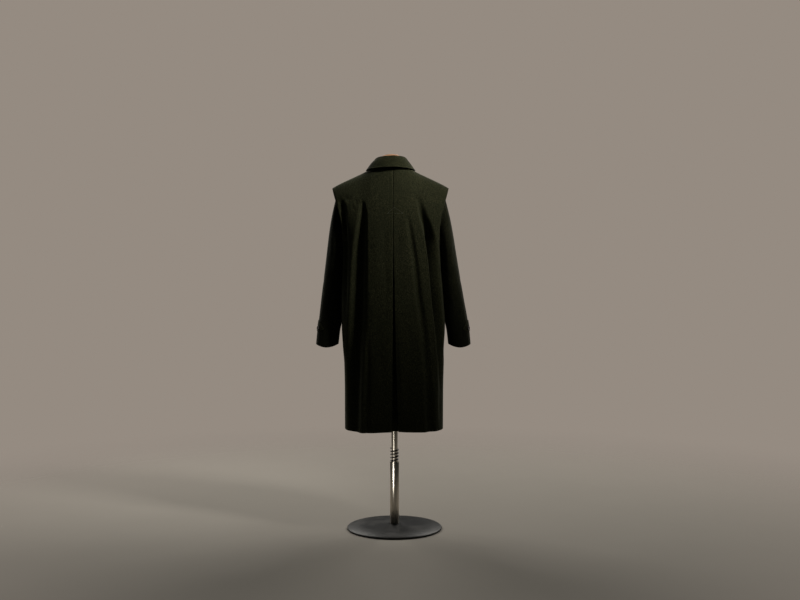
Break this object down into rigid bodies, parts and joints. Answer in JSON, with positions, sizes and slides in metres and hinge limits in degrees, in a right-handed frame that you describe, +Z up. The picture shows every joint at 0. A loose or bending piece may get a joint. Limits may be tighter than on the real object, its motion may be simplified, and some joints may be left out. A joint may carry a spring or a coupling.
{
  "type": "loden coat on a dress form",
  "caption": "Long loden coat with a turned-down collar, inverted back pleat and set-in sleeves under overhanging shoulders, worn by a limbless dress form on a sprung pole and round base.",
  "frame": {"origin": "centre of the round base's underside on the floor, half way across the coat", "axes": "+Z up, +Y to the back of the coat, +X to the wearer's left"},
  "size_m": [0.6576, 0.4, 1.586],
  "materials": {
    "loden": "felted wool, matt, dark olive green",
    "horn_button": "dark brown, half gloss",
    "form_cover": "linen cover, matt",
    "neck_cap": "copper tan, half gloss",
    "pole_steel": "polished",
    "spring_black": "black",
    "base_paint": "black, satin"
  },
  "bodies": {
    "root": {"back_left": "loden", "back_right": "loden", "pleat_underlay": "loden", "front_left": "loden", "front_right": "loden", "top_sleeve_left": "loden", "under_sleeve_left": "loden", "top_sleeve_right": "loden", "under_sleeve_right": "loden", "cuff_tab_left": "loden", "cuff_tab_right": "loden", "collar_stand": "loden", "collar_fall": "loden", "front_button_1": "horn_button", "front_button_2": "horn_button", "front_button_3": "horn_button", "front_button_4": "horn_button", "front_button_5": "horn_button", "cuff_button_left": "horn_button", "cuff_button_right": "horn_button", "form_torso": "form_cover", "form_neck_cap": "neck_cap", "form_pole": "pole_steel", "form_tube": "pole_steel", "form_spring": "spring_black", "form_base": "base_paint"}
  },
  "joints": []
}
